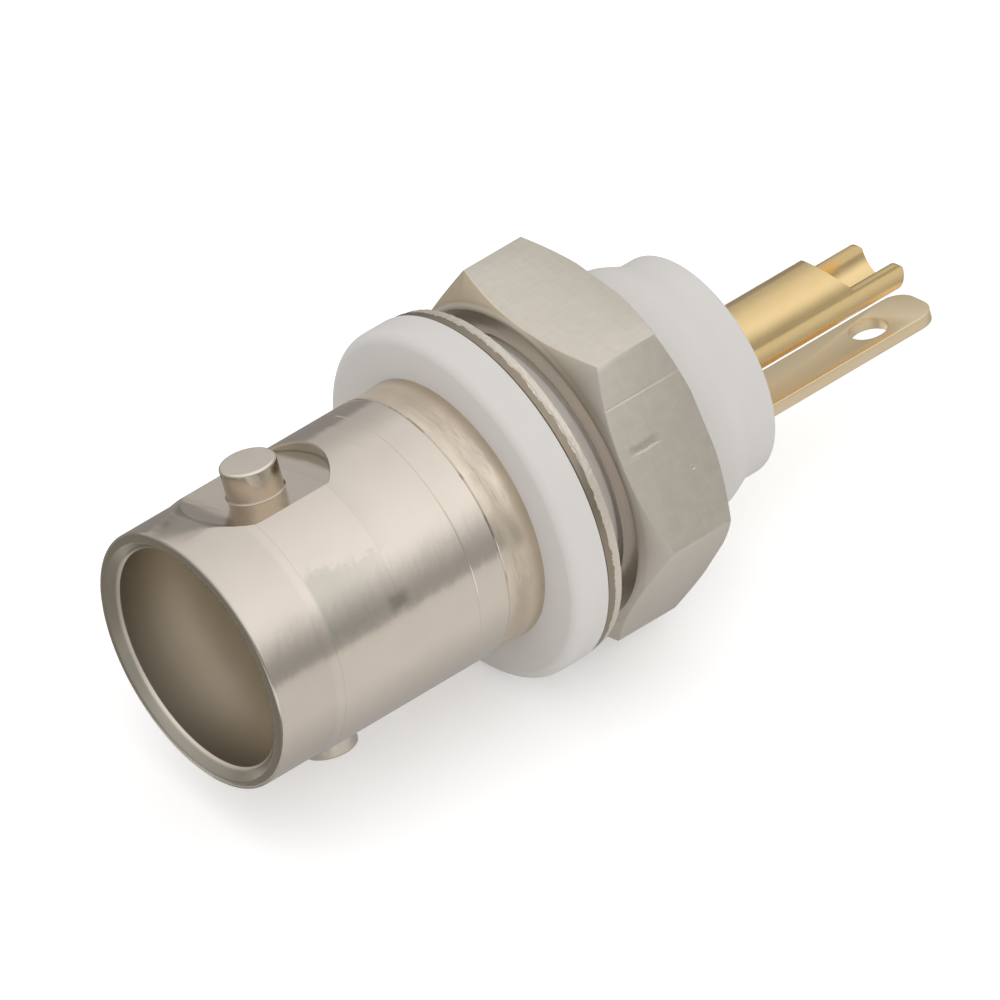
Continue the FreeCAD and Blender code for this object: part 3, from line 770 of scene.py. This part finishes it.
def make_nut():
    """Hexagon blank cut by a cone at the front and at the rear, then bored."""
    nut = new_mesh("nut_blank", bpy.ops.mesh.primitive_cylinder_add, vertices=6,
                   radius=2 * NUT_FLAT / math.sqrt(3) * MM, depth=(NUT_REAR - NUT_FRONT) * MM,
                   location=(0, (NUT_REAR + NUT_FRONT) / 2 * MM, 0),
                   rotation=(math.pi / 2, math.radians(30), 0))
    settle(nut)
    turn_about_axis(nut, NUT_TURN)

    core = 0.5
    widest = 7.4
    rear_cone = 6.1
    front_rise = (widest - NUT_CONE) * NUT_SLOPE
    rear_rise = (widest - rear_cone) * NUT_SLOPE
    cone = turned("nut_cone", [(core, NUT_FRONT - 1), (NUT_CONE - 1 / NUT_SLOPE, NUT_FRONT - 1),
                               (widest, NUT_FRONT + front_rise), (widest, NUT_REAR - rear_rise),
                               (rear_cone - 1 / NUT_SLOPE, NUT_REAR + 1),
                               (core, NUT_REAR + 1)], 256)
    work(nut, cone, "INTERSECT")

    core = 0.3
    edge = 0.25
    flare = NUT_BORE + edge + 1
    bore = turned("nut_bore", [(core, NUT_FRONT - 1), (flare, NUT_FRONT - 1),
                               (NUT_BORE, NUT_FRONT + edge), (NUT_BORE, NUT_REAR - edge),
                               (flare, NUT_REAR + 1), (core, NUT_REAR + 1)], 256)
    work(nut, bore)
    soften(nut, 0.06, 20, 2)
    smooth(nut, 20)
    return nut


def finish_piece(piece, node, body, material):
    piece.name = node + "_piece"
    piece.data.materials.clear()
    piece.data.materials.append(material)
    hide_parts(node)
    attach(piece, body)


nickel = nickel_finish()
contact_gold = gold_finish("gold_on_turned_brass", (0.92, 0.67, 0.33), (0.98, 0.75, 0.40), 0.17)
tab_gold = gold_finish("gold_on_stamped_brass", (0.94, 0.77, 0.51), (0.98, 0.82, 0.57), 0.32)
white = white_finish("white_moulding", (0.665, 0.635, 0.605), (0.70, 0.68, 0.655), 0.42)
core_white = white_finish("white_core", (0.76, 0.755, 0.74), (0.80, 0.795, 0.785), 0.35)
finish_piece(make_shell(), "shell", "jack", nickel)
finish_piece(make_insulator(), "insulator", "jack", white)
finish_piece(make_dielectric(), "dielectric", "jack", core_white)
finish_piece(make_contact(), "centre_contact", "jack", contact_gold)
finish_piece(make_tab(), "ground_tab", "jack", tab_gold)
finish_piece(make_washer(), "lock_washer", "washer", washer_finish())
finish_piece(make_nut(), "hex_nut", "nut", nut_finish())


# Studio

# The table's height in millimetres, just under the flange
TABLE = -6.51


def make_floor():
    """A pale floor that takes the shadow; a faint glow for the camera keeps it white."""
    glow = (0.28, 0.28, 0.28)
    floor = new_mesh("studio_floor", bpy.ops.mesh.primitive_plane_add, size=3.0,
                     location=(0, 0, TABLE * MM))
    finish = Finish("pale_floor", Base_Color=(0.97, 0.97, 0.97, 1), Roughness=0.9,
                    Specular_IOR_Level=0.1, Emission_Strength=1.0)
    seen = finish.node("ShaderNodeLightPath", {}, {}, "Is Camera Ray")
    finish.wear("Emission Color", finish.blend(seen, (0, 0, 0), glow))
    floor.data.materials.append(finish.material)


def glowing(name):
    """A finish that gives light and mirrors nothing."""
    return Finish(name, Base_Color=(0, 0, 0, 1), Specular_IOR_Level=0.0,
                  Roughness=1.0, Emission_Strength=1.0)


def only_in_metal(card):
    """A studio card that is seen in reflections and nowhere else."""
    card.visible_camera = False
    card.visible_diffuse = False
    card.visible_transmission = False
    card.visible_shadow = False


def make_tent():
    """A round light tent, grey below and white above: the dark band along the barrel."""
    reach = 0.5
    tent = new_mesh("studio_tent", bpy.ops.mesh.primitive_cylinder_add, vertices=96,
                    radius=reach, depth=reach * 1.2,
                    location=(0, 0, reach * 0.4 + TABLE * MM))
    settle(tent)
    finish = glowing("tent_cloth")
    height = finish.z.step(70, 460)
    side = finish.x.step(-450, 400)
    low = finish.blend(side, (0.50, 0.50, 0.49), (0.35, 0.35, 0.34))
    high = finish.blend(side, (0.76, 0.76, 0.76), (1.0, 1.0, 1.0))
    finish.wear("Emission Color", finish.blend(height, low, high))
    tent.data.materials.append(finish.material)
    only_in_metal(tent)


def make_table_card(name, place, size, tone, under=None):
    """A card on the table, seen only in the metal: centre and size in millimetres. A second tone,
    right under the part, is painted shade."""
    lift = 0.3
    card = new_mesh(name, bpy.ops.mesh.primitive_plane_add, size=1,
                    location=(place[0] * MM, place[1] * MM, (TABLE + lift) * MM))
    card.scale = (size[0] * MM, size[1] * MM, 1)
    settle(card)
    finish = glowing(name)
    if under:
        # painted shade right under the part
        finish.wear("Emission Color", finish.blend(finish.x.step(0, 13), under, tone))
    else:
        finish.shader.inputs["Emission Color"].default_value = (*tone, 1)
    card.data.materials.append(finish.material)
    only_in_metal(card)


def make_lamp(name, place, size, power):
    """A soft lamp aimed at the part that metal doesn't mirror; the white world stands for it."""
    lamp = bpy.data.lights.new(name, "AREA")
    lamp.shape = "RECTANGLE"
    lamp.size, lamp.size_y = size
    lamp.energy = power
    holder = bpy.data.objects.new(name, lamp)
    bpy.context.scene.collection.objects.link(holder)
    holder.location = place
    holder.rotation_euler = Vector(place).to_track_quat("Z", "Y").to_euler()
    holder.visible_glossy = False
    holder.visible_camera = False


def make_world():
    """White to the camera and in reflections, less to everything else."""
    world = bpy.data.worlds.new("studio")
    bpy.context.scene.world = world
    world.use_nodes = True
    tree = world.node_tree
    back = tree.nodes["Background"]
    back.inputs["Color"].default_value = (1, 1, 1, 1)
    path = tree.nodes.new("ShaderNodeLightPath")
    strength = path.outputs["Is Camera Ray"]
    for ray in ("Is Glossy Ray", "Is Transmission Ray"):
        either = tree.nodes.new("ShaderNodeMath")
        either.operation = "MAXIMUM"
        tree.links.new(strength, either.inputs[0])
        tree.links.new(path.outputs[ray], either.inputs[1])
        strength = either.outputs[0]
    level = tree.nodes.new("ShaderNodeMapRange")
    level.inputs["To Min"].default_value = 0.86
    level.inputs["To Max"].default_value = 1.0
    tree.links.new(strength, level.inputs["Value"])
    tree.links.new(level.outputs[0], back.inputs["Strength"])


def make_camera():
    """The photo's long view: almost parallel, with a slight lean."""
    azimuth = math.radians(50.71)
    elevation = math.radians(44.44)
    roll = math.radians(-0.65)
    shown_width = 33.27
    shift_right = 0.517
    shift_down = 0.366
    distance = 1.2
    sensor = 36
    back = Vector((math.sin(azimuth) * math.cos(elevation),
                   -math.cos(azimuth) * math.cos(elevation), math.sin(elevation)))
    level = Vector((math.cos(azimuth), math.sin(azimuth), 0))
    over = back.cross(level)
    right = level * math.cos(roll) + over * math.sin(roll)
    up = over * math.cos(roll) - level * math.sin(roll)
    target = (right * shift_right - up * shift_down) * MM
    camera = bpy.data.cameras.new("camera")
    camera.sensor_width = sensor
    camera.lens = sensor * distance / (shown_width * MM)
    camera.clip_start = 0.05
    camera.clip_end = 10
    holder = bpy.data.objects.new("camera", camera)
    bpy.context.scene.collection.objects.link(holder)
    holder.location = target + back * distance
    holder.rotation_mode = "QUATERNION"
    holder.rotation_quaternion = Matrix((right, up, back)).transposed().to_quaternion()
    bpy.context.scene.camera = holder


make_floor()
make_tent()
make_table_card("left_card", (-255, 143), (490, 313), (0.28, 0.27, 0.26))
make_table_card("front_card", (-140, -217), (320, 406), (0.30, 0.28, 0.255))
make_table_card("right_card", (240, 123), (480, 273), (0.68, 0.67, 0.655), (0.36, 0.355, 0.35))
make_world()
make_lamp("overhead", (0.2, -0.1, 0.9), (1.0, 1.0), 1.4)
make_camera()
bpy.context.scene.view_settings.view_transform = "Standard"
